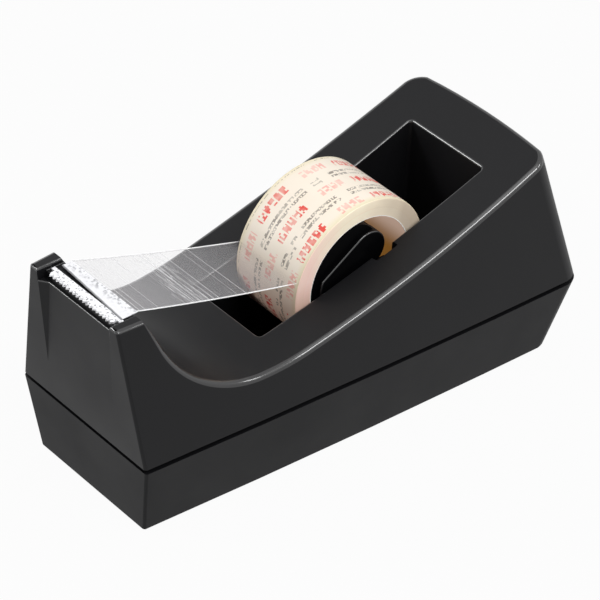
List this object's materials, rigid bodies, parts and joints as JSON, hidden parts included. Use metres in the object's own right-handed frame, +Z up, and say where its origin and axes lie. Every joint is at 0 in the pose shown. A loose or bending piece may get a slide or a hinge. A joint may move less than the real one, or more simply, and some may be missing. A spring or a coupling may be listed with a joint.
{
  "type": "desk tape dispenser",
  "caption": "Weighted desk tape dispenser with a saddle top, a deep roll well, a lift-out hub with a tape roll, and a toothed cutter between two ears.",
  "frame": {"origin": "middle of the outline, on the surface that the pad stands on", "axes": "+X to the high back, -X to the cutter, +Z up"},
  "size_m": [0.1138, 0.0504, 0.0492],
  "materials": {
    "cover_plastic": "fine satin, as moulded",
    "base_plastic": "fine satin, as moulded",
    "pad_foam": "matt closed-cell foam",
    "weight_iron": "rough cast",
    "screw_steel": "zinc plated",
    "blade_steel": "bright stamped strip",
    "hub_plastic": "glossy, as moulded",
    "core_card": "smooth cream core",
    "wrap_paper": "printed paper",
    "tape_film_wound": "clear wound film, slightly yellow",
    "tape_film": "clear film"
  },
  "bodies": {
    "body": {"upper_cover": "cover_plastic", "base_tray": "base_plastic", "non_slip_pad": "pad_foam", "front_weight": "weight_iron", "back_weight": "weight_iron", "base_screws": "screw_steel", "cutter_blade": "blade_steel", "tape_end": "tape_film"},
    "hub": {"hub": "hub_plastic"},
    "roll": {"tape_core": "core_card", "core_wrap": "wrap_paper", "tape_roll": "tape_film_wound"}
  },
  "joints": [
    {"name": "hub_lift", "type": "slide", "parent": "body", "child": "hub", "axis": [0, 0, 1], "range_m": [0, 0.04]},
    {"name": "roll_spin", "type": "hinge", "parent": "hub", "child": "roll", "pos_m": [0.0074, 0, 0.0309], "axis": [0, 1, 0], "continuous": true}
  ]
}
